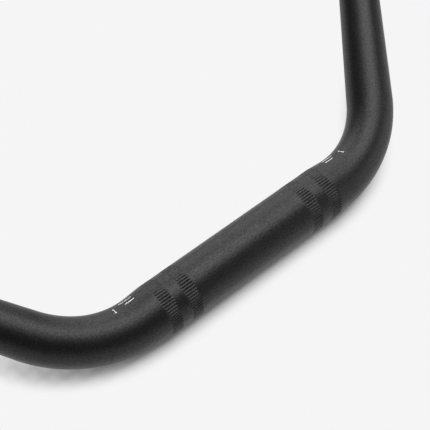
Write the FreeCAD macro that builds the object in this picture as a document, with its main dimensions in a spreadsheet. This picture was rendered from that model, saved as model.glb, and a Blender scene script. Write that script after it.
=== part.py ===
import FreeCAD, Part
import Sketcher
import math
import os

from FreeCAD import Placement, Rotation, Vector

# Riser handlebar: one butted aluminium tube with a wide clamp zone, two bends a side and swept-back grips.
# Bar frame: X along the clamp axis, Y up the rise, Z towards the front of the bar, origin at the clamp centre.
# The right half is built outside and inside, then mirrored. The finished bar is turned about X until the
# clamp zone and both bar ends lie on one level surface.

# Driving dimensions, in millimetres and degrees: alias, value, meaning.
DIMENSIONS = (
    ("clamp_dia", 31.8, "outside diameter of the clamp zone, the common oversize standard"),
    ("mid_dia", 28.0, "outside diameter of the swaged tube at the end of the first bend"),
    ("grip_dia", 22.2, "outside diameter of the grips, the common flat-bar standard"),
    ("clamp_wall", 3.2, "wall at the clamp, the thickest of the butted tube"),
    ("mid_wall", 2.2, "wall at the end of the first bend"),
    ("grip_wall", 2.1, "wall at the grips"),
    ("clamp_half", 64.4, "half the length of the clamp zone"),
    ("bend_clearance", 7.6, "straight tube from the end of the clamp zone to the first bend"),
    ("swage_length", 48.0, "from the end of the clamp zone to the end of the swage, inside the first bend"),
    ("bend_radius", 70.0, "centre-line radius of both bends"),
    ("rise_angle", 54.0, "turn of the first bend, up the rise"),
    ("rise", 164.0, "rise of the second bend's corner above the clamp axis"),
    ("upsweep", 4.0, "climb of the grip axis"),
    ("backsweep", 26.0, "turn of the grip axis towards the rider"),
    ("grip_length", 160.0, "straight grip, from the second bend to the bar end"),
    ("end_chamfer", 0.5, "chamfer on both rims of each bar end"),
    ("band_start", 41.4, "from the clamp centre to the inner knurl band"),
    ("band_width", 8.2, "width of a knurl band"),
    ("band_gap", 6.4, "plain strip between the two bands of a side"),
    ("groove_count", 56, "knurl grooves round the tube"),
    ("groove_width", 1.1, "width of a groove at the surface"),
    ("groove_depth", 0.5, "depth of a groove"),
    ("section_count", 5, "tube sections that the swage runs through"),
)

doc = FreeCAD.newDocument("handlebar")
sheet = doc.addObject("Spreadsheet::Sheet", "dims")
for row, (alias, value, meaning) in enumerate(DIMENSIONS, start=1):
    sheet.set(f"A{row}", str(value))
    sheet.setAlias(f"A{row}", alias)
    sheet.set(f"B{row}", meaning)
doc.recompute()


def size(alias):
    """A driving dimension, read from the sheet as a plain number."""
    return float(getattr(sheet, alias))


class CentreLine:
    """The right half of the tube's centre line: straight, first bend, arm, second bend, grip."""

    def __init__(self):
        self.radius = size("bend_radius")
        self.straight_half = size("clamp_half") + size("bend_clearance")
        self.first_turn = math.radians(size("rise_angle"))
        self.first_pivot = Vector(0, 0, 1)
        up = math.radians(size("upsweep"))
        back = math.radians(size("backsweep"))
        self.clamp_axis = Vector(1, 0, 0)
        self.arm_axis = Vector(math.cos(self.first_turn), math.sin(self.first_turn), 0)
        self.grip_axis = Vector(math.cos(up) * math.cos(back), math.sin(up), -math.cos(up) * math.sin(back))
        self.second_turn = self.arm_axis.getAngle(self.grip_axis)
        self.second_pivot = self.arm_axis.cross(self.grip_axis).normalize()
        # Each bend rounds off a corner of a straight-sided line, so it takes its tangent length from both sides.
        first_tangent = self.radius * math.tan(self.first_turn / 2)
        second_tangent = self.radius * math.tan(self.second_turn / 2)
        self.arm_length = size("rise") / math.sin(self.first_turn) - first_tangent - second_tangent
        first_corner = self.clamp_axis * (self.straight_half + first_tangent)
        second_corner = first_corner + self.arm_axis * (first_tangent + self.arm_length + second_tangent)
        self.arm_start = first_corner + self.arm_axis * first_tangent
        self.arm_end = second_corner - self.arm_axis * second_tangent
        self.grip_start = second_corner + self.grip_axis * second_tangent
        self.grip_end = self.grip_start + self.grip_axis * size("grip_length")

    def square_to(self, point, heading, pivot):
        """A placement whose local Z is the tube's heading, with the bend's pivot axis as local Y."""
        return Placement(point, Rotation(pivot.cross(heading), pivot, heading))

    def near_clamp(self, along):
        """The placement at a distance from the clamp centre, up to the end of the first bend."""
        straight = min(along, self.straight_half)
        turned = (along - straight) / self.radius
        heading = Vector(math.cos(turned), math.sin(turned), 0)
        sideways = Vector(math.sin(turned), 1 - math.cos(turned), 0) * self.radius
        return self.square_to(self.clamp_axis * straight + sideways, heading, self.first_pivot)


line = CentreLine()
body = doc.addObject("PartDesign::Body", "handlebar")
body.Label = "handlebar"
ORIGIN = {feature.Role: feature for feature in body.Origin.OriginFeatures}


def attach(item, placement):
    """Attach a sketch or primitive to the clamp's own cross plane, offset to a placement in the bar frame."""
    plane = ORIGIN["YZ_Plane"]
    item.AttachmentSupport = [(plane, "")]
    item.MapMode = "FlatFace"
    item.AttachmentOffset = plane.Placement.inverse() * placement


def section(name, placement, radius_expression):
    """A round tube section, its radius bound to the sheet."""
    sketch = body.newObject("Sketcher::SketchObject", name)
    attach(sketch, placement)
    ring = sketch.addGeometry(Part.Circle(Vector(0, 0, 0), Vector(0, 0, 1), size("mid_dia") / 2), False)
    sketch.addConstraint(Sketcher.Constraint("Coincident", ring, 3, -1, 1))
    radius = sketch.addConstraint(Sketcher.Constraint("Radius", ring, size("mid_dia") / 2))
    sketch.setExpression(f"Constraints[{radius}]", radius_expression)
    return sketch


def straight(kind, name, placement, radius_expression, length_expression):
    """A straight round length, added by a Pad or cut by a Pocket along the tube's heading."""
    feature = body.newObject(f"PartDesign::{kind}", name)
    feature.Profile = section(f"{name}_section", placement, radius_expression)
    feature.Reversed = kind == "Pocket"
    feature.setExpression("Length", length_expression)
    return feature


def bend(kind, name, placement, radius_expression, turn):
    """A round bend, added by a Revolution or cut by a Groove, about the placement's own pivot side."""
    sketch = section(f"{name}_section", placement, radius_expression)
    bend_radius = size("bend_radius")
    ends = (Vector(bend_radius, -bend_radius, 0), Vector(bend_radius, bend_radius, 0))
    pivot = sketch.addGeometry(Part.LineSegment(*ends), True)
    sketch.addConstraint(Sketcher.Constraint("Vertical", pivot))
    reach = sketch.addConstraint(Sketcher.Constraint("DistanceX", -1, 1, pivot, 1, bend_radius))
    sketch.setExpression(f"Constraints[{reach}]", "dims.bend_radius")
    feature = body.newObject(f"PartDesign::{kind}", name)
    feature.Profile = sketch
    feature.ReferenceAxis = (sketch, ["Axis0"])
    feature.Angle = math.degrees(turn)
    return feature


def swage(kind, name, start_expression, end_expression):
    """The swage, lofted along the straight and into the first bend. It closes fast and ends tangent."""
    steps = int(size("section_count")) - 1
    sections = []
    for i in range(steps + 1):
        done = i / steps
        closed = 1 - (1 - done) ** 2
        radius = f"{start_expression} + ({end_expression} - ({start_expression})) * {closed:.6f}"
        place = line.near_clamp(size("clamp_half") + done * size("swage_length"))
        sections.append(section(f"{name}_section_{i}", place, radius))
    feature = body.newObject(f"PartDesign::{kind}", name)
    feature.Profile = sections[0]
    feature.Sections = sections[1:]
    return feature


def arm(kind, name, placement, start_expression, end_expression):
    """The straight tapered arm between the bends."""
    feature = body.newObject(f"PartDesign::{kind}", name)
    attach(feature, placement)
    feature.setExpression("Radius1", start_expression)
    feature.setExpression("Radius2", end_expression)
    feature.Height = line.arm_length
    return feature


def half_tube(role, kinds, clamp, mid, grip):
    """The right half of the tube's outside or inside, from the clamp centre to the bar end.

    Args:
        role: start of the feature names.
        kinds: feature types that add, or that cut, a straight, a loft, a bend and a cone.
        clamp: expression for the radius in the clamp zone.
        mid: expression for the radius at the end of the first bend.
        grip: expression for the radius from the second bend to the bar end.
    """
    straight_kind, loft_kind, bend_kind, cone_kind = kinds
    swage_end = size("clamp_half") + size("swage_length")
    turn_left = line.first_turn - (swage_end - line.straight_half) / line.radius
    at_arm = line.square_to(line.arm_start, line.arm_axis, line.first_pivot)
    at_second_bend = line.square_to(line.arm_end, line.arm_axis, line.second_pivot)
    at_grip = line.square_to(line.grip_start, line.grip_axis, line.second_pivot)
    straight(straight_kind, f"{role}_clamp", line.near_clamp(0.0), clamp, "dims.clamp_half")
    swage(loft_kind, f"{role}_swage", clamp, mid)
    bend(bend_kind, f"{role}_first_bend", line.near_clamp(swage_end), mid, turn_left)
    arm(cone_kind, f"{role}_arm", at_arm, mid, grip)
    bend(bend_kind, f"{role}_second_bend", at_second_bend, grip, line.second_turn)
    straight(straight_kind, f"{role}_grip", at_grip, grip, "dims.grip_length")
    doc.recompute()


def outside():
    """The butted tube's outside, as a solid bar."""
    kinds = ("Pad", "AdditiveLoft", "Revolution", "AdditiveCone")
    half_tube("outer", kinds, "dims.clamp_dia / 2", "dims.mid_dia / 2", "dims.grip_dia / 2")


def inside():
    """The bore, with the wall thickest at the clamp."""
    kinds = ("Pocket", "SubtractiveLoft", "Groove", "SubtractiveCone")
    clamp = "dims.clamp_dia / 2 - dims.clamp_wall"
    mid = "dims.mid_dia / 2 - dims.mid_wall"
    grip = "dims.grip_dia / 2 - dims.grip_wall"
    half_tube("bore", kinds, clamp, mid, grip)


def end_chamfers():
    """Break both rims of the bar end."""
    tube = body.Tip
    rims = []
    for number, edge in enumerate(tube.Shape.Edges, start=1):
        if isinstance(edge.Curve, Part.Circle) and edge.Curve.Center.distanceToPoint(line.grip_end) < 0.01:
            rims.append(f"Edge{number}")
    chamfer = body.newObject("PartDesign::Chamfer", "end_chamfers")
    chamfer.Base = (tube, rims)
    chamfer.setExpression("Size", "dims.end_chamfer")
    doc.recompute()


def groove(name, start_expression):
    """One V groove of a knurl band, cut along the tube from the band's inner edge."""
    sketch = body.newObject("Sketcher::SketchObject", f"{name}_section")
    attach(sketch, line.near_clamp(0.0))
    sketch.setExpression("AttachmentOffset.Base.z", start_expression)
    surface = size("clamp_dia") / 2
    width = size("groove_width")
    depth = size("groove_depth")
    # The flanks run on past the surface by the groove's own depth, so the cut breaks through it cleanly.
    left = Vector(-width, surface + depth, 0)
    right = Vector(width, surface + depth, 0)
    root = Vector(0, surface - depth, 0)
    for start, end in ((left, right), (right, root), (root, left)):
        sketch.addGeometry(Part.LineSegment(start, end), False)
    for side in range(3):
        sketch.addConstraint(Sketcher.Constraint("Coincident", side, 2, (side + 1) % 3, 1))
    sketch.addConstraint(Sketcher.Constraint("Symmetric", 0, 1, 0, 2, -2))
    sketch.addConstraint(Sketcher.Constraint("PointOnObject", 2, 1, -2))
    mouth = sketch.addConstraint(Sketcher.Constraint("DistanceX", 0, 1, 0, 2, 2 * width))
    sketch.setExpression(f"Constraints[{mouth}]", "2 * dims.groove_width")
    bottom = sketch.addConstraint(Sketcher.Constraint("DistanceY", -1, 1, 2, 1, surface - depth))
    sketch.setExpression(f"Constraints[{bottom}]", "dims.clamp_dia / 2 - dims.groove_depth")
    top = sketch.addConstraint(Sketcher.Constraint("DistanceY", -1, 1, 0, 1, surface + depth))
    sketch.setExpression(f"Constraints[{top}]", "dims.clamp_dia / 2 + dims.groove_depth")
    cut = body.newObject("PartDesign::Pocket", name)
    cut.Profile = sketch
    cut.Reversed = True
    cut.setExpression("Length", "dims.band_width")
    return cut


def knurl():
    """Two bands of straight grooves round the clamp zone, all the way about its axis."""
    inner = groove("inner_groove", "dims.band_start")
    outer = groove("outer_groove", "dims.band_start + dims.band_width + dims.band_gap")
    pattern = body.newObject("PartDesign::PolarPattern", "knurl")
    pattern.Originals = [inner, outer]
    pattern.Axis = (ORIGIN["X_Axis"], [""])
    pattern.Angle = 360
    pattern.setExpression("Occurrences", "dims.groove_count")
    body.Tip = pattern
    doc.recompute()


def both_sides():
    """Mirror the finished half, so the bar is one tube from end to end."""
    whole = body.newObject("PartDesign::Mirrored", "both_sides")
    whole.TransformMode = "Whole shape"
    whole.MirrorPlane = (ORIGIN["YZ_Plane"], [""])
    body.Tip = whole
    doc.recompute()


def lay_down():
    """Turn the bar about the clamp axis until the clamp zone and both bar ends lie on one level."""
    clamp_r = size("clamp_dia") / 2
    grip_r = size("grip_dia") / 2
    rim = line.grip_end - line.grip_axis * size("end_chamfer")
    reach = math.hypot(rim.y, rim.z)
    lean = math.atan2(rim.z, rim.y)
    tilt = 0.0
    # The rim's lowest point depends on how steeply the grip comes down, so the turn settles in a few rounds.
    for _ in range(6):
        slope = line.grip_axis.y * math.sin(tilt) + line.grip_axis.z * math.cos(tilt)
        end_height = grip_r * math.sqrt(1 - slope * slope) - clamp_r
        tilt = math.asin(end_height / reach) - lean
    body.Placement = Placement(Vector(0, 0, 0), Rotation(Vector(1, 0, 0), math.degrees(tilt)))
    doc.recompute()


def check():
    """Stop where any object failed, or where the body isn't one valid solid."""
    for item in doc.Objects:
        if "Invalid" in item.State or "Error" in item.State:
            raise RuntimeError(f"{item.Label} failed: {item.State}")
    if body.Shape.isNull() or not body.Shape.isValid() or len(body.Shape.Solids) != 1:
        raise RuntimeError("the handlebar is not one valid solid")


outside()
inside()
end_chamfers()
knurl()
both_sides()
lay_down()
check()
os.makedirs("parts", exist_ok=True)
body.Shape.exportStep(f"parts/{body.Label}.step")
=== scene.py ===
import logging
import math
from dataclasses import dataclass, field
from enum import Enum
from typing import Any, NamedTuple

import bpy
from mathutils import Matrix, Vector


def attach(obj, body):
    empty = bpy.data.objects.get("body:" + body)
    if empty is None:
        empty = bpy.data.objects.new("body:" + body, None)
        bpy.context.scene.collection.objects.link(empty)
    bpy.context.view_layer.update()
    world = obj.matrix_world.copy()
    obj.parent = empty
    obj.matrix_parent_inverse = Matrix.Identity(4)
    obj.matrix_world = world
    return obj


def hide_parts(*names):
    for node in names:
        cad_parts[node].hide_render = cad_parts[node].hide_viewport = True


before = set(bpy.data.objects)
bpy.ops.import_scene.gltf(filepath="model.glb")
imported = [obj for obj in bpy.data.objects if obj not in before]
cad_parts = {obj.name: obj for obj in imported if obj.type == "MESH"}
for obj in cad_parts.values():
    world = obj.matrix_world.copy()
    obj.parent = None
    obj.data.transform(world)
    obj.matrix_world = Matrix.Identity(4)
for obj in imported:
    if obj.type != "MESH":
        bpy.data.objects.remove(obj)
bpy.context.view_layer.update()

MM = 0.001
BODY = "root"
NODE = "handlebar"
LOG = logging.getLogger("handlebar_scene")


class Side(Enum):
    """A half of the bar, as its sign along the clamp axis."""

    LEFT = -1
    RIGHT = 1


class Wall(Enum):
    """A face of the tube's wall."""

    OUTSIDE = 0
    BORE = 1


class Ease(Enum):
    """How a remapped value runs between its ends."""

    EVEN = "LINEAR"
    SOFT = "SMOOTHSTEP"


class Ring(NamedTuple):
    """A round section of the tube: its centre and two unit directions across it."""

    centre: Vector
    across: Vector
    aside: Vector


class Station(NamedTuple):
    """One point of the wall's lengthwise outline."""

    along: float
    radius: float
    knurl: float
    wall: Wall


class Stroke(NamedTuple):
    """A printed stroke: its ends, along and round the tube, the turn they start from and its width."""

    start: tuple[float, float]
    stop: tuple[float, float]
    turn: float
    width: float


class NodeGraph:
    """Short calls for adding and joining the nodes of one tree."""

    def __init__(self, tree: bpy.types.NodeTree) -> None:
        """Take a tree and drop any nodes that it starts with.

        Args:
            tree: the node tree to fill.
        """
        self.tree = tree
        tree.nodes.clear()

    def add(self, kind: str, settings: dict[str, Any] | None = None, **sockets: Any) -> bpy.types.Node:
        """Add a node, then set or join its inputs.

        Args:
            kind: the node's type name.
            settings: properties of the node itself.
            sockets: input values or source sockets, named as the inputs are with _ for a space.

        Returns:
            The new node.
        """
        node = self.tree.nodes.new(kind)
        for name, value in (settings or {}).items():
            setattr(node, name, value)
        for name, value in sockets.items():
            self.feed(node.inputs[name.replace("_", " ")], value)
        return node

    def feed(self, socket: bpy.types.NodeSocket, value: Any) -> None:
        """Join a source socket to an input, or set the input's own value.

        Args:
            socket: the input.
            value: a source socket or a plain value.
        """
        if isinstance(value, bpy.types.NodeSocket):
            self.tree.links.new(value, socket)
        else:
            socket.default_value = value

    def math(self, operation: str, *values: Any) -> bpy.types.NodeSocket:
        """Add a Math node.

        Args:
            operation: the node's operation.
            values: its inputs in order, as sockets or numbers.

        Returns:
            The result socket.
        """
        node = self.add("ShaderNodeMath", {"operation": operation})
        for socket, value in zip(node.inputs, values):
            self.feed(socket, value)
        return node.outputs["Value"]

    def weigh(self, first: Any, first_share: float, second: Any, second_share: float) -> bpy.types.NodeSocket:
        """Add up two values by their shares.

        Args:
            first: the first value's socket.
            first_share: what the first value is multiplied by.
            second: the second value's socket.
            second_share: what the second value is multiplied by.

        Returns:
            The result socket.
        """
        parts = [self.math("MULTIPLY", *pair) for pair in ((first, first_share), (second, second_share))]
        return self.math("ADD", *parts)

    def vector(self, operation: str, first: Any, second: Any) -> bpy.types.NodeSocket:
        """Add a Vector Math node on two vectors, or on a vector and a scale.

        Args:
            operation: the node's operation.
            first: the first vector.
            second: the second vector, or the scale where the operation is SCALE.

        Returns:
            The result socket.
        """
        node = self.add("ShaderNodeVectorMath", {"operation": operation})
        self.feed(node.inputs[0], first)
        self.feed(node.inputs["Scale"] if operation == "SCALE" else node.inputs[1], second)
        return node.outputs["Vector"]

    def remap(
        self, value: Any, low: Any, high: Any, to_low: Any, to_high: Any, ease: Ease = Ease.EVEN
    ) -> bpy.types.NodeSocket:
        """Add a clamped Map Range node.

        Args:
            value: the source socket.
            low: source value that gives to_low.
            high: source value that gives to_high.
            to_low: lowest result.
            to_high: highest result.
            ease: how the result runs between its ends.

        Returns:
            The result socket.
        """
        settings = {"clamp": True, "interpolation_type": ease.value}
        ends = {"From_Min": low, "From_Max": high, "To_Min": to_low, "To_Max": to_high}
        return self.add("ShaderNodeMapRange", settings, Value=value, **ends).outputs["Result"]

    def blend(self, share: Any, first: Any, second: Any) -> bpy.types.NodeSocket:
        """Add a colour mix.

        Args:
            share: how much of the second colour shows.
            first: the colour at 0.
            second: the colour at 1.

        Returns:
            The mixed colour socket.
        """
        node = self.add("ShaderNodeMix", {"data_type": "RGBA"})
        self.feed(node.inputs["Factor"], share)
        colours = [socket for socket in node.inputs if socket.type == "RGBA"]
        for socket, value in zip(colours, (first, second)):
            self.feed(socket, value if isinstance(value, bpy.types.NodeSocket) else (*value, 1.0))
        return next(socket for socket in node.outputs if socket.type == "RGBA")

    def attribute(self, name: str, data_type: str) -> bpy.types.NodeSocket:
        """Read a named attribute in a geometry tree.

        Args:
            name: the attribute's name.
            data_type: FLOAT or FLOAT_VECTOR.

        Returns:
            The attribute's socket.
        """
        node = self.add("GeometryNodeInputNamedAttribute", {"data_type": data_type}, Name=name)
        return node.outputs["Attribute"]


class BlastedGrain:
    """The fine grain that bead blasting leaves, as a shader node group that all finishes of the bar share."""

    NAME = "blasted_grain"
    FINE_NOISE = {"Detail": 2.0, "Roughness": 0.6}
    DRIFT_NOISE = {"Detail": 3.0, "Roughness": 0.5}
    NOISE_SPREAD = (0.3, 0.7)
    PITS_PER_GRAIN = 0.8
    PIT_REACH = 0.7
    FINE_SHARE = 0.6
    PIT_SHARE = 0.4

    @classmethod
    def group(cls) -> bpy.types.NodeTree:
        """Give the node group, built at its first use.

        Returns:
            The group, with inputs Grain Size and Drift Size and outputs Grain, Drift and Height.
        """
        made = bpy.data.node_groups.get(cls.NAME)
        return made if made is not None else cls._build()

    @classmethod
    def _build(cls) -> bpy.types.NodeTree:
        """Build the node group.

        Returns:
            The new group.
        """
        tree = bpy.data.node_groups.new(cls.NAME, "ShaderNodeTree")
        graph = NodeGraph(tree)
        for name in ("Grain Size", "Drift Size"):
            tree.interface.new_socket(name=name, in_out="INPUT", socket_type="NodeSocketFloat")
        for name in ("Grain", "Drift", "Height"):
            tree.interface.new_socket(name=name, in_out="OUTPUT", socket_type="NodeSocketFloat")
        source = graph.add("NodeGroupInput")
        place = graph.add("ShaderNodeTexCoord").outputs["Object"]
        fine_scale = graph.math("DIVIDE", 1.0, source.outputs["Grain Size"])
        drift_scale = graph.math("DIVIDE", 1.0, source.outputs["Drift Size"])
        fine = graph.add("ShaderNodeTexNoise", Vector=place, Scale=fine_scale, **cls.FINE_NOISE)
        pit_scale = graph.math("MULTIPLY", fine_scale, cls.PITS_PER_GRAIN)
        pits = graph.add("ShaderNodeTexVoronoi", Vector=place, Scale=pit_scale)
        drift = graph.add("ShaderNodeTexNoise", Vector=place, Scale=drift_scale, **cls.DRIFT_NOISE)
        dimple = graph.remap(pits.outputs["Distance"], 0.0, cls.PIT_REACH, 0.0, 1.0)
        height = graph.weigh(fine.outputs["Fac"], cls.FINE_SHARE, dimple, cls.PIT_SHARE)
        result = graph.add("NodeGroupOutput")
        for name, noise in (("Grain", fine), ("Drift", drift)):
            graph.feed(result.inputs[name], graph.remap(noise.outputs["Fac"], *cls.NOISE_SPREAD, 0.0, 1.0))
        graph.feed(result.inputs["Height"], height)
        return tree


@dataclass(frozen=True)
class BlastedFinish:
    """A surface of the bar: its colours, gloss and grain, and the sealed skin over them where it has one."""

    name: str
    dark: tuple[float, float, float]
    pale: tuple[float, float, float]
    gloss_low: float
    gloss_high: float
    specular: float = 0.5
    skin: tuple[float, float] | None = None
    skin_gloss: float = 0.45
    grain_size: float = 0.7 * MM
    drift_size: float = 38.0 * MM
    relief: float = 0.012 * MM
    grain_share: float = 0.7
    drift_share: float = 0.3

    def build(self) -> bpy.types.Material:
        """Make the material.

        Returns:
            The new material.
        """
        material = bpy.data.materials.new(self.name)
        material.use_nodes = True
        graph = NodeGraph(material.node_tree)
        grain = graph.add("ShaderNodeGroup", {"node_tree": BlastedGrain.group()})
        graph.feed(grain.inputs["Grain Size"], self.grain_size)
        graph.feed(grain.inputs["Drift Size"], self.drift_size)
        fine, drift = grain.outputs["Grain"], grain.outputs["Drift"]
        tone = graph.weigh(fine, self.grain_share, drift, self.drift_share)
        height = grain.outputs["Height"]
        bump = graph.add("ShaderNodeBump", Strength=1.0, Distance=self.relief, Height=height)
        shader = graph.add(
            "ShaderNodeBsdfPrincipled",
            Base_Color=graph.blend(tone, self.dark, self.pale),
            Roughness=graph.remap(drift, 0.0, 1.0, self.gloss_low, self.gloss_high),
            Normal=bump.outputs["Normal"],
            Specular_IOR_Level=self.specular,
        )
        if self.skin is not None:
            graph.feed(shader.inputs["Coat Weight"], graph.remap(fine, 0.0, 1.0, *self.skin))
            graph.feed(shader.inputs["Coat Roughness"], self.skin_gloss)
        result = graph.add("ShaderNodeOutputMaterial")
        graph.feed(result.inputs["Surface"], shader.outputs["BSDF"])
        material.diffuse_color = (*self.pale, 1.0)
        return material


OUTSIDE_FINISH = BlastedFinish(
    name="black_blasted_anodise",
    dark=(0.0048, 0.0048, 0.0055),
    pale=(0.0094, 0.0094, 0.0104),
    gloss_low=0.43,
    gloss_high=0.47,
    specular=0.19,
    skin=(0.04, 0.74),
)
BORE_FINISH = BlastedFinish(
    name="black_drawn_bore",
    dark=(0.007, 0.007, 0.0075),
    pale=(0.013, 0.013, 0.0138),
    gloss_low=0.34,
    gloss_high=0.46,
    grain_size=0.9 * MM,
    relief=0.006 * MM,
)
PRINT_FINISH = BlastedFinish(
    name="white_scale_print",
    dark=(0.74, 0.74, 0.74),
    pale=(0.86, 0.86, 0.86),
    gloss_low=0.48,
    gloss_high=0.58,
    relief=0.006 * MM,
)


@dataclass
class BarLine:
    """The tube's centre line: straight clamp zone, and on each side a bend, an arm, a bend and a grip."""

    clamp_radius: float = 15.9 * MM
    grip_radius: float = 11.1 * MM
    straight_half: float = 72.0 * MM
    bend_radius: float = 70.0 * MM
    rise_angle: float = math.radians(54.0)
    rise: float = 164.0 * MM
    upsweep_angle: float = math.radians(4.0)
    backsweep_angle: float = math.radians(26.0)
    grip_length: float = 160.0 * MM
    end_chamfer: float = 0.5 * MM
    lie_rounds: int = 6

    def __post_init__(self) -> None:
        """Work out the axes, the corners and where each run ends, in the bar's own frame."""
        up, back = self.upsweep_angle, self.backsweep_angle
        self.arm_axis = Vector((math.cos(self.rise_angle), math.sin(self.rise_angle), 0.0))
        level = math.cos(up)
        self.grip_axis = Vector((level * math.cos(back), math.sin(up), -level * math.sin(back)))
        self.second_turn = self.arm_axis.angle(self.grip_axis)
        self.second_pivot = self.arm_axis.cross(self.grip_axis).normalized()
        first_tangent = self.bend_radius * math.tan(self.rise_angle / 2)
        second_tangent = self.bend_radius * math.tan(self.second_turn / 2)
        self.arm_length = self.rise / math.sin(self.rise_angle) - first_tangent - second_tangent
        self.first_bend_end = self.straight_half + self.bend_radius * self.rise_angle
        self.arm_end = self.first_bend_end + self.arm_length
        self.second_bend_end = self.arm_end + self.bend_radius * self.second_turn
        self.end = self.second_bend_end + self.grip_length
        self.lie = Matrix.Rotation(self._lie_angle(), 3, "X")

    def _lie_angle(self) -> float:
        """Turn about the clamp axis at which the clamp zone and both bar ends lie on one level.

        Returns:
            The angle in radians.
        """
        rim = self._half_ring(self.end - self.end_chamfer).centre
        reach, lean = math.hypot(rim.y, rim.z), math.atan2(rim.z, rim.y)
        tilt = 0.0
        for _ in range(self.lie_rounds):
            slope = self.grip_axis.y * math.sin(tilt) + self.grip_axis.z * math.cos(tilt)
            height = self.grip_radius * math.sqrt(1.0 - slope * slope) - self.clamp_radius
            tilt = math.asin(height / reach) - lean
        return tilt

    def _half_ring(self, along: float) -> Ring:
        """A section of the right half, in the bar's own frame.

        Args:
            along: distance from the clamp centre along the tube.

        Returns:
            The section.
        """
        turn = min(max(along - self.straight_half, 0.0) / self.bend_radius, self.rise_angle)
        bent = Vector((math.sin(turn), 1.0 - math.cos(turn), 0.0)) * self.bend_radius
        centre = Vector((min(along, self.straight_half), 0.0, 0.0)) + bent
        across = Vector((-math.sin(turn), math.cos(turn), 0.0))
        aside = Vector((0.0, 0.0, 1.0))
        centre += self.arm_axis * min(max(along - self.first_bend_end, 0.0), self.arm_length)
        second = min(max(along - self.arm_end, 0.0) / self.bend_radius, self.second_turn)
        if second > 0.0:
            swing = Matrix.Rotation(second, 3, self.second_pivot)
            pivot = centre + self.second_pivot.cross(self.arm_axis) * self.bend_radius
            centre = pivot + swing @ (centre - pivot)
            across, aside = swing @ across, swing @ aside
        centre += self.grip_axis * max(along - self.second_bend_end, 0.0)
        return Ring(centre, across, aside)

    def ring(self, along: float) -> Ring:
        """A section of the bar as it lies.

        Args:
            along: signed distance from the clamp centre, positive on the right half.

        Returns:
            The section, in the row frame.
        """
        flip = Vector((math.copysign(1.0, along), 1.0, 1.0))
        return Ring(*(self.lie @ (item * flip) for item in self._half_ring(abs(along))))


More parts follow.
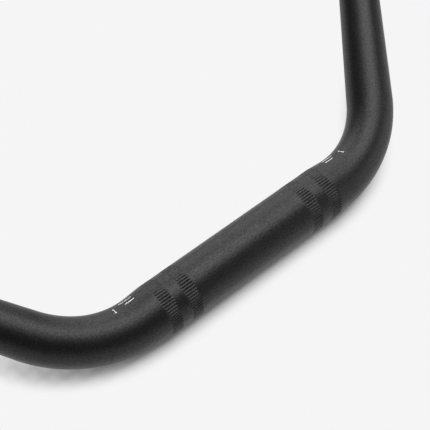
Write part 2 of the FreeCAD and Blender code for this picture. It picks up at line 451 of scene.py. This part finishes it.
@dataclass
class BarTube:
    """The handlebar itself: one butted tube with two knurl bands in each side of its clamp zone."""

    line: BarLine
    mid_radius: float = 14.0 * MM
    clamp_bore: float = 12.7 * MM
    mid_bore: float = 11.8 * MM
    grip_bore: float = 9.0 * MM
    clamp_half: float = 64.4 * MM
    swage_length: float = 48.0 * MM
    band_start: float = 41.4 * MM
    band_width: float = 8.2 * MM
    band_gap: float = 6.4 * MM
    groove_count: int = 56
    groove_width: float = 1.1 * MM
    groove_depth: float = 0.46 * MM
    ridge_rise: float = 0.04 * MM
    groove_end: float = 1.2 * MM
    band_guard: float = 0.1 * MM
    sides_per_groove: int = 6
    bend_step: float = 2.2 * MM
    run_step: float = 16.0 * MM
    bore_coarseness: float = 2.2
    sharp_angle: float = math.radians(32.0)
    lined_from: float = 0.99

    def radius(self, along: float, wall: Wall) -> float:
        """The tube's radius at a distance from the clamp centre.

        Args:
            along: signed distance from the clamp centre.
            wall: which face of the wall.

        Returns:
            The radius in metres.
        """
        away = abs(along)
        if wall is Wall.OUTSIDE:
            clamp, mid, grip = self.line.clamp_radius, self.mid_radius, self.line.grip_radius
        else:
            clamp, mid, grip = self.clamp_bore, self.mid_bore, self.grip_bore
        swaged = min(max((away - self.clamp_half) / self.swage_length, 0.0), 1.0)
        drawn = min(max((away - self.line.first_bend_end) / self.line.arm_length, 0.0), 1.0)
        return clamp + (mid - clamp) * (1.0 - (1.0 - swaged) ** 2) + (grip - mid) * drawn

    def _stops(self, coarseness: float) -> list[float]:
        """Distances along the right half of the wall's outline points, but for the knurl and the rim.

        Args:
            coarseness: how many times longer than the tube's own steps the steps are.

        Returns:
            The distances, rising from the clamp centre.
        """
        line = self.line
        runs = (
            (0.0, self.clamp_half, self.run_step),
            (self.clamp_half, line.first_bend_end, self.bend_step),
            (line.first_bend_end, line.arm_end, self.run_step),
            (line.arm_end, line.second_bend_end, self.bend_step),
            (line.second_bend_end, line.end - line.end_chamfer, self.run_step),
        )
        stops = [0.0]
        for start, stop, step in runs:
            count = math.ceil((stop - start) / (step * coarseness))
            stops += [start + (stop - start) * i / count for i in range(1, count + 1)]
        return stops

    def _knurl_edges(self) -> list[tuple[float, float]]:
        """The knurl bands' edges on the right half.

        Returns:
            Pairs of a distance and the groove's share of its depth there.
        """
        edges = []
        for start in (self.band_start, self.band_start + self.band_width + self.band_gap):
            stop = start + self.band_width
            edges += [(start - self.band_guard, 0.0), (start, 0.0), (start + self.groove_end, 1.0)]
            edges += [(stop - self.groove_end, 1.0), (stop, 0.0), (stop + self.band_guard, 0.0)]
        return edges

    def outline(self) -> list[Station]:
        """The wall's lengthwise outline: out along the outside, round the right rim, back along the bore.

        Returns:
            The outline's points in order, left end first. The left rim closes it.
        """
        edges = self._knurl_edges()
        first, last = edges[0][0], edges[-1][0]
        half = [(stop, 0.0) for stop in self._stops(1.0) if not first < stop < last]
        half = sorted(half + edges)
        outside = [(-stop, knurl) for stop, knurl in reversed(half[1:])] + half
        stations = [Station(s, self.radius(s, Wall.OUTSIDE), knurl, Wall.OUTSIDE) for s, knurl in outside]
        bore = self._stops(self.bore_coarseness)
        back = list(reversed(bore)) + [-stop for stop in bore[1:]]
        inside = [Station(s, self.radius(s, Wall.BORE), 0.0, Wall.BORE) for s in back]
        chamfer, end = self.line.end_chamfer, self.line.end
        outer_rim, inner_rim = self.line.grip_radius - chamfer, self.grip_bore + chamfer
        right = [Station(end, outer_rim, 0.0, Wall.OUTSIDE), Station(end, inner_rim, 0.0, Wall.OUTSIDE)]
        left = [Station(-end, inner_rim, 0.0, Wall.OUTSIDE), Station(-end, outer_rim, 0.0, Wall.OUTSIDE)]
        return stations + right + inside + left

    def rail(self) -> bpy.types.Object:
        """Make the closed wire that carries the wall's outline and each point's own section.

        Returns:
            The wire object.
        """
        stations = self.outline()
        rings = [self.line.ring(station.along) for station in stations]
        points = [ring.centre + ring.across * station.radius for ring, station in zip(rings, stations)]
        count = len(points)
        mesh = bpy.data.meshes.new(NODE)
        mesh.from_pydata(points, [(i, (i + 1) % count) for i in range(count)], [])
        for name, items in (
            ("centre", [ring.centre for ring in rings]),
            ("across", [ring.across for ring in rings]),
            ("aside", [ring.aside for ring in rings]),
        ):
            values = [number for item in items for number in item]
            mesh.attributes.new(name, "FLOAT_VECTOR", "POINT").data.foreach_set("vector", values)
        for name, values in (
            ("reach", [station.radius for station in stations]),
            ("knurl", [station.knurl for station in stations]),
            ("bore", [float(station.wall.value) for station in stations]),
        ):
            mesh.attributes.new(name, "FLOAT", "POINT").data.foreach_set("value", values)
        return put_in_scene("bar_tube", mesh)

    def centre_wire(self, step: float) -> bpy.types.Object:
        """Make a wire along the centre line that carries the tube's outside radius.

        Args:
            step: longest distance between its points.

        Returns:
            The wire object.
        """
        count = math.ceil(2.0 * self.line.end / step)
        stops = [self.line.end * (2.0 * i / count - 1.0) for i in range(count + 1)]
        mesh = bpy.data.meshes.new("centre_wire")
        points = [self.line.ring(stop).centre for stop in stops]
        mesh.from_pydata(points, [(i, i + 1) for i in range(count)], [])
        radii = [self.radius(stop, Wall.OUTSIDE) for stop in stops]
        mesh.attributes.new("reach", "FLOAT", "POINT").data.foreach_set("value", radii)
        return put_in_scene("centre_wire", mesh)

    def tree(self) -> tuple[bpy.types.NodeTree, dict[str, str]]:
        """Build the tree that turns the wall's outline round the centre line and rolls the knurl into it.

        Returns:
            The tree, and the identifier of each named input.
        """
        tree = bpy.data.node_groups.new("turned_tube", "GeometryNodeTree")
        graph = NodeGraph(tree)
        face = tree.interface
        face.new_socket(name="Outline", in_out="INPUT", socket_type="NodeSocketGeometry")
        kinds = {
            "Groove Count": "NodeSocketInt",
            "Sides per Groove": "NodeSocketInt",
            "Groove Share": "NodeSocketFloat",
            "Groove Depth": "NodeSocketFloat",
            "Ridge Rise": "NodeSocketFloat",
            "Sharp Angle": "NodeSocketFloat",
            "Outside": "NodeSocketMaterial",
            "Bore": "NodeSocketMaterial",
        }
        sockets = {
            name: face.new_socket(name=name, in_out="INPUT", socket_type=kind).identifier
            for name, kind in kinds.items()
        }
        face.new_socket(name="Tube", in_out="OUTPUT", socket_type="NodeSocketGeometry")
        source = graph.add("NodeGroupInput").outputs
        # The round section's points carry their share of a full turn.
        sides = graph.math("MULTIPLY", source["Groove Count"], source["Sides per Groove"])
        circle = graph.add("GeometryNodeCurvePrimitiveCircle", Resolution=sides, Radius=MM)
        place = graph.math("DIVIDE", graph.add("GeometryNodeSplineParameter").outputs["Index"], sides)
        section = graph.add(
            "GeometryNodeStoreNamedAttribute",
            {"data_type": "FLOAT", "domain": "POINT"},
            Geometry=circle.outputs["Curve"],
            Name="round",
            Value=place,
        )
        wire = graph.add("GeometryNodeMeshToCurve", Mesh=source["Outline"])
        skin = graph.add(
            "GeometryNodeCurveToMesh",
            Curve=wire.outputs["Curve"],
            Profile_Curve=section.outputs["Geometry"],
        )
        # Distance from the nearest groove's middle, as a share of the pitch, sets the depth.
        around = graph.attribute("round", "FLOAT")
        pitches = graph.math("MULTIPLY", around, source["Groove Count"])
        phase = graph.math("FRACT", graph.math("ADD", pitches, 0.5))
        from_groove = graph.math("ABSOLUTE", graph.math("SUBTRACT", phase, 0.5))
        floor = graph.math("MULTIPLY", source["Groove Depth"], -1.0)
        relief = graph.remap(from_groove, 0.0, source["Groove Share"], floor, source["Ridge Rise"])
        rolled = graph.math("MULTIPLY", relief, graph.attribute("knurl", "FLOAT"))
        reach = graph.math("ADD", graph.attribute("reach", "FLOAT"), rolled)
        turn = graph.math("MULTIPLY", around, math.tau)
        up = graph.vector("SCALE", graph.attribute("across", "FLOAT_VECTOR"), graph.math("COSINE", turn))
        out = graph.vector("SCALE", graph.attribute("aside", "FLOAT_VECTOR"), graph.math("SINE", turn))
        spoke = graph.vector("SCALE", graph.vector("ADD", up, out), reach)
        spot = graph.vector("ADD", graph.attribute("centre", "FLOAT_VECTOR"), spoke)
        shaped = graph.add("GeometryNodeSetPosition", Geometry=skin.outputs["Mesh"], Position=spot)
        moved = shaped.outputs["Geometry"]
        smooth = graph.add("GeometryNodeSetShadeSmooth", {"domain": "FACE"}, Geometry=moved)
        bend = graph.add("GeometryNodeInputMeshEdgeAngle").outputs["Unsigned Angle"]
        crisp = graph.add(
            "GeometryNodeSetShadeSmooth",
            {"domain": "EDGE"},
            Geometry=smooth.outputs["Geometry"],
            Selection=graph.math("GREATER_THAN", bend, source["Sharp Angle"]),
            Shade_Smooth=False,
        )
        whole = graph.add("GeometryNodeRealizeInstances", Geometry=crisp.outputs["Geometry"])
        dressed = graph.add(
            "GeometryNodeSetMaterial", Geometry=whole.outputs["Geometry"], Material=source["Outside"]
        )
        lined = graph.add(
            "GeometryNodeSetMaterial",
            Geometry=dressed.outputs["Geometry"],
            Selection=graph.math("GREATER_THAN", graph.attribute("bore", "FLOAT"), self.lined_from),
            Material=source["Bore"],
        )
        graph.feed(graph.add("NodeGroupOutput").inputs["Tube"], lined.outputs["Geometry"])
        return tree, sockets

    def build(self) -> bpy.types.Object:
        """Make the tube and dress it.

        Returns:
            The finished piece, which stands for the CAD node.
        """
        item = self.rail()
        tree, sockets = self.tree()
        pitch = math.tau * self.line.clamp_radius / self.groove_count
        values = {
            "Groove Count": self.groove_count,
            "Sides per Groove": self.sides_per_groove,
            "Groove Share": 0.5 * self.groove_width / pitch,
            "Groove Depth": self.groove_depth,
            "Ridge Rise": self.ridge_rise,
            "Sharp Angle": self.sharp_angle,
            "Outside": OUTSIDE_FINISH.build(),
            "Bore": BORE_FINISH.build(),
        }
        settle(item, tree, {sockets[name]: value for name, value in values.items()})
        face_outwards(item.data)
        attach(item, BODY)
        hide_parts(NODE)
        return item


@dataclass
class AlignmentScale:
    """The printed scale outboard of a clamp edge: a long tick, a short tick and a plain figure one."""

    tube: BarTube
    side: Side
    roll: float
    inner_end: float = 72.0 * MM
    long_tick: float = 10.4 * MM
    short_tick: float = 7.4 * MM
    long_turn: float = math.radians(26.5)
    short_turn: float = math.radians(39.0)
    figure_turn: float = math.radians(42.0)
    figure_along: float = 87.6 * MM
    figure_height: float = 3.9 * MM
    figure_width: float = 1.5 * MM
    long_stroke: float = 0.56 * MM
    short_stroke: float = 0.68 * MM
    figure_stroke: float = 0.5 * MM
    film: float = 0.045 * MM
    sunk: float = 0.06 * MM
    step: float = 0.6 * MM
    flag_drop: float = 0.55

    # The film's cross-section, as the order in which its edge runs round its points.
    FILM_RING = (0, 2, 4, 5, 3, 1)

    def _point(self, along: float, across: float, turn: float, lift: float) -> Vector:
        """A point on the tube's outside, or just off it.

        Args:
            along: distance outboard from the clamp centre.
            across: distance round the tube from the turn.
            turn: angle round the tube from the rise side, before the print's roll.
            lift: height above the surface.

        Returns:
            The point in the row frame.
        """
        signed = along * self.side.value
        ring = self.tube.line.ring(signed)
        radius = self.tube.radius(signed, Wall.OUTSIDE)
        angle = turn + self.roll + across / radius
        spoke = ring.across * math.cos(angle) + ring.aside * math.sin(angle)
        return ring.centre + spoke * (radius + lift)

    def _strokes(self) -> list[Stroke]:
        """The print's strokes.

        Returns:
            The strokes: both ticks, then the figure's stem, foot and flag.
        """
        high, wide, middle = 0.5 * self.figure_height, 0.5 * self.figure_width, self.figure_along
        start, turn, width = self.inner_end, self.figure_turn, self.figure_stroke
        # The flag points left on both sides of the bar, so that neither figure is mirrored.
        flag = (middle - self.side.value * wide, -self.flag_drop * high)
        return [
            Stroke((start, 0.0), (start + self.long_tick, 0.0), self.long_turn, self.long_stroke),
            Stroke((start, 0.0), (start + self.short_tick, 0.0), self.short_turn, self.short_stroke),
            Stroke((middle, -high), (middle, high), turn, width),
            Stroke((middle - wide, high), (middle + wide, high), turn, width),
            Stroke((middle, -high), flag, turn, width),
        ]

    def _lay(self, stroke: Stroke) -> tuple[list[Vector], list[tuple[int, ...]]]:
        """Lay one stroke on the tube as a closed film whose underside is let into the surface.

        Args:
            stroke: the stroke to lay.

        Returns:
            The film's points and its faces.
        """
        start, stop = Vector(stroke.start), Vector(stroke.stop)
        run = stop - start
        side = Vector((-run.y, run.x)).normalized() * (0.5 * stroke.width)
        count = max(2, math.ceil(run.length / self.step) + 1)
        points = []
        for i in range(count):
            middle = start + run * (i / (count - 1))
            for edge in (-1.0, 0.0, 1.0):
                spot = middle + side * edge
                points += [self._point(*spot, stroke.turn, lift) for lift in (self.film, -self.sunk)]
        ring = self.FILM_RING
        stride = len(ring)
        last = stride * (count - 1)
        faces = [ring, tuple(last + corner for corner in reversed(ring))]
        for here in range(0, last, stride):
            there = here + stride
            for a, b in zip(ring, ring[1:] + ring[:1]):
                faces.append((here + a, here + b, there + b, there + a))
        return points, faces

    def build(self) -> bpy.types.Object:
        """Print the scale.

        Returns:
            The finished piece.
        """
        points: list[Vector] = []
        faces: list[tuple[int, ...]] = []
        for stroke in self._strokes():
            more, shapes = self._lay(stroke)
            faces += [tuple(len(points) + index for index in shape) for shape in shapes]
            points += more
        name = f"{self.side.name.lower()}_alignment_scale"
        mesh = bpy.data.meshes.new(name)
        mesh.from_pydata(points, [], faces)
        face_outwards(mesh)
        mesh.materials.append(bpy.data.materials.get(PRINT_FINISH.name) or PRINT_FINISH.build())
        item = put_in_scene(name, mesh)
        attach(item, BODY)
        return item


# How far each side's print is turned round the tube from its mirrored place.
PRINT_ROLL = {Side.LEFT: math.radians(3.0), Side.RIGHT: math.radians(-1.5)}


@dataclass(frozen=True)
class Softbox:
    """A rectangular studio lamp that faces the bar's clamp zone."""

    name: str
    direction: tuple[float, float, float]
    distance: float
    width: float
    depth: float
    power: float

    def build(self, target: Vector) -> bpy.types.Object:
        """Hang the lamp.

        Args:
            target: the point it faces.

        Returns:
            The lamp object.
        """
        data = bpy.data.lights.new(self.name, "AREA")
        data.shape = "RECTANGLE"
        data.size, data.size_y, data.energy = self.width, self.depth, self.power
        item = put_in_scene(self.name, data)
        away = Vector(self.direction).normalized()
        item.location = target + away * self.distance
        item.rotation_mode = "QUATERNION"
        item.rotation_quaternion = (-away).to_track_quat("-Z", "Y")
        return item


@dataclass
class Studio:
    """The pale floor, the lamps and the plain background."""

    tube: BarTube
    floor_level: float = -15.96 * MM
    floor_colour: float = 0.913
    floor_near: tuple[float, float] = (0.56, 0.40)
    floor_far: tuple[float, ...] = (1.0, 5.0, 40.0)
    floor_cell: float = 8.0 * MM
    arm_height: float = 0.22
    shade_start: float = 1.0 * MM
    shade_end: float = 12.0 * MM
    target: Vector = field(default_factory=lambda: Vector((0.0, 0.05, 0.0)))
    lamps: tuple[Softbox, ...] = (
        Softbox("overhead_scrim", (0.259, 0.0, 0.966), 4.8, 3.9, 4.5, 236.0),
        Softbox("back_scrim", (0.433, 0.750, 0.500), 6.0, 5.4, 4.5, 180.0),
        Softbox("side_scrim", (0.798, -0.559, 0.225), 6.0, 4.5, 2.55, 56.0),
    )

    def _pale(self) -> tuple[float, float, float, float]:
        """The grey of the floor and the background, as an opaque colour."""
        return (self.floor_colour, self.floor_colour, self.floor_colour, 1.0)

    def _floor_material(self) -> bpy.types.Material:
        """A matt pale floor that takes the shadow close to the bar and turns to plain background off it.

        Returns:
            The new material.
        """
        material = bpy.data.materials.new("pale_floor")
        material.use_nodes = True
        graph = NodeGraph(material.node_tree)
        gap = graph.add("ShaderNodeAttribute", {"attribute_name": "gap"}).outputs["Fac"]
        far = graph.remap(gap, self.shade_start, self.shade_end, 0.0, 1.0, Ease.SOFT)
        path = graph.add("ShaderNodeLightPath").outputs
        seen = graph.math("MAXIMUM", path["Is Camera Ray"], path["Is Glossy Ray"])
        seen = graph.math("MAXIMUM", seen, path["Is Transmission Ray"])
        matt = graph.add("ShaderNodeBsdfDiffuse", Color=self._pale())
        plain = graph.add("ShaderNodeEmission", Color=self._pale(), Strength=1.0)
        mix = graph.add("ShaderNodeMixShader")
        graph.feed(mix.inputs["Fac"], graph.math("MULTIPLY", far, seen))
        graph.feed(mix.inputs[1], matt.outputs["BSDF"])
        graph.feed(mix.inputs[2], plain.outputs["Emission"])
        graph.feed(graph.add("ShaderNodeOutputMaterial").inputs["Surface"], mix.outputs["Shader"])
        return material

    def _lines(self, near: float) -> list[float]:
        """Where the floor's grid lines run along one axis: close together round the bar, then far out.

        Args:
            near: half the length of the close-set stretch.

        Returns:
            The lines' places, rising.
        """
        count = math.ceil(2.0 * near / self.floor_cell)
        close = [near * (2.0 * i / count - 1.0) for i in range(count + 1)]
        return [-far for far in reversed(self.floor_far)] + close + list(self.floor_far)

    def _gap_tree(self) -> tuple[bpy.types.NodeTree, str]:
        """Build the tree that stores each floor point's gap to the bar, with the arms let down.

        Returns:
            The tree, and the identifier of the input for the bar's centre line.
        """
        tree = bpy.data.node_groups.new("floor_gap", "GeometryNodeTree")
        graph = NodeGraph(tree)
        face = tree.interface
        face.new_socket(name="Floor", in_out="INPUT", socket_type="NodeSocketGeometry")
        socket = face.new_socket(name="Line", in_out="INPUT", socket_type="NodeSocketObject").identifier
        face.new_socket(name="Floor", in_out="OUTPUT", socket_type="NodeSocketGeometry")
        source = graph.add("NodeGroupInput").outputs
        line = graph.add("GeometryNodeObjectInfo", Object=source["Line"])
        squash = (1.0, 1.0, self.arm_height)
        low = graph.add("GeometryNodeTransform", Geometry=line.outputs["Geometry"], Scale=squash)
        lowered = low.outputs["Geometry"]
        near = graph.add("GeometryNodeProximity", {"target_element": "EDGES"})
        graph.feed(near.inputs[0], lowered)
        closest = graph.add("GeometryNodeSampleNearest", {"domain": "POINT"}, Geometry=lowered)
        radius = graph.add(
            "GeometryNodeSampleIndex",
            {"data_type": "FLOAT", "domain": "POINT"},
            Geometry=lowered,
            Value=graph.attribute("reach", "FLOAT"),
            Index=closest.outputs["Index"],
        )
        gap = graph.math("SUBTRACT", near.outputs["Distance"], radius.outputs["Value"])
        stored = graph.add(
            "GeometryNodeStoreNamedAttribute",
            {"data_type": "FLOAT", "domain": "POINT"},
            Geometry=source["Floor"],
            Name="gap",
            Value=gap,
        )
        graph.feed(graph.add("NodeGroupOutput").inputs["Floor"], stored.outputs["Geometry"])
        return tree, socket

    def _floor(self) -> bpy.types.Object:
        """Lay the floor.

        Returns:
            The floor object.
        """
        columns, rows = (self._lines(near) for near in self.floor_near)
        points = [(x, y, self.floor_level) for y in rows for x in columns]
        width = len(columns)
        starts = [row * width + column for row in range(len(rows) - 1) for column in range(width - 1)]
        mesh = bpy.data.meshes.new("studio_floor")
        mesh.from_pydata(points, [], [(i, i + 1, i + width + 1, i + width) for i in starts])
        mesh.materials.append(self._floor_material())
        item = put_in_scene("studio_floor", mesh)
        tree, socket = self._gap_tree()
        wire = self.tube.centre_wire(self.floor_cell)
        settle(item, tree, {socket: wire})
        bpy.data.objects.remove(wire)
        return item

    def _room(self) -> None:
        """Show the plain background past the floor's edge. Only the lamps and the floor light the bar."""
        world = bpy.data.worlds.new("studio_room")
        world.use_nodes = True
        graph = NodeGraph(world.node_tree)
        path = graph.add("ShaderNodeLightPath").outputs
        glow = graph.add("ShaderNodeBackground", Color=self._pale(), Strength=path["Is Camera Ray"])
        graph.feed(graph.add("ShaderNodeOutputWorld").inputs["Surface"], glow.outputs["Background"])
        bpy.context.scene.world = world

    def build(self) -> None:
        """Set up the floor, the lamps and the room."""
        self._floor()
        for lamp in self.lamps:
            lamp.build(self.target)
        self._room()
        bpy.context.scene.view_settings.view_transform = "Standard"


@dataclass
class PhotoCamera:
    """The camera at the photograph's place."""

    location: Vector = field(default_factory=lambda: Vector((-0.319868, -0.337180, 0.597441)))
    target: Vector = field(default_factory=lambda: Vector((0.00594, 0.02881, 0.0)))
    lens: float = 112.85
    sensor: float = 36.0

    def build(self) -> bpy.types.Object:
        """Place the camera and make it the scene's own.

        Returns:
            The camera object.
        """
        data = bpy.data.cameras.new("photo_camera")
        data.lens, data.sensor_width = self.lens, self.sensor
        item = put_in_scene("photo_camera", data)
        item.location = self.location
        item.rotation_mode = "QUATERNION"
        item.rotation_quaternion = (self.target - self.location).to_track_quat("-Z", "Y")
        bpy.context.scene.camera = item
        return item


def put_in_scene(name: str, data: bpy.types.ID) -> bpy.types.Object:
    """Make an object of a mesh, a lamp or a camera and link it to the scene.

    Args:
        name: the object's name.
        data: what it shows.

    Returns:
        The new object.
    """
    item = bpy.data.objects.new(name, data)
    bpy.context.scene.collection.objects.link(item)
    return item


def settle(item: bpy.types.Object, tree: bpy.types.NodeTree, values: dict[str, Any]) -> None:
    """Run a geometry tree on an object and keep its result as the object's plain mesh.

    Args:
        item: the object that carries the tree's source.
        tree: the geometry tree.
        values: input values by socket identifier.
    """
    modifier = item.modifiers.new("shape", "NODES")
    modifier.node_group = tree
    for identifier, value in values.items():
        modifier[identifier] = value
    graph = bpy.context.evaluated_depsgraph_get()
    shaped = item.evaluated_get(graph)
    made = bpy.data.meshes.new_from_object(shaped, preserve_all_data_layers=True, depsgraph=graph)
    item.modifiers.remove(modifier)
    source = item.data
    made.name = source.name
    item.data = made
    bpy.data.meshes.remove(source)


def face_outwards(mesh: bpy.types.Mesh) -> None:
    """Turn a closed mesh's faces so that they point outwards.

    Args:
        mesh: the mesh to turn.
    """
    volume = 0.0
    for face in mesh.polygons:
        corners = [mesh.vertices[index].co for index in face.vertices]
        for second, third in zip(corners[1:], corners[2:]):
            volume += corners[0].dot(second.cross(third))
    if volume < 0.0:
        mesh.flip_normals()


def main() -> None:
    """Build the bar, its print, the studio and the camera."""
    logging.basicConfig(level=logging.INFO, format="%(name)s: %(message)s")
    tube = BarTube(BarLine())
    pieces = [tube.build()]
    pieces += [AlignmentScale(tube, side, roll).build() for side, roll in PRINT_ROLL.items()]
    for item in pieces:
        LOG.info("%s: %d faces", item.name, len(item.data.polygons))
    Studio(tube).build()
    PhotoCamera().build()


if __name__ == "__main__":
    main()
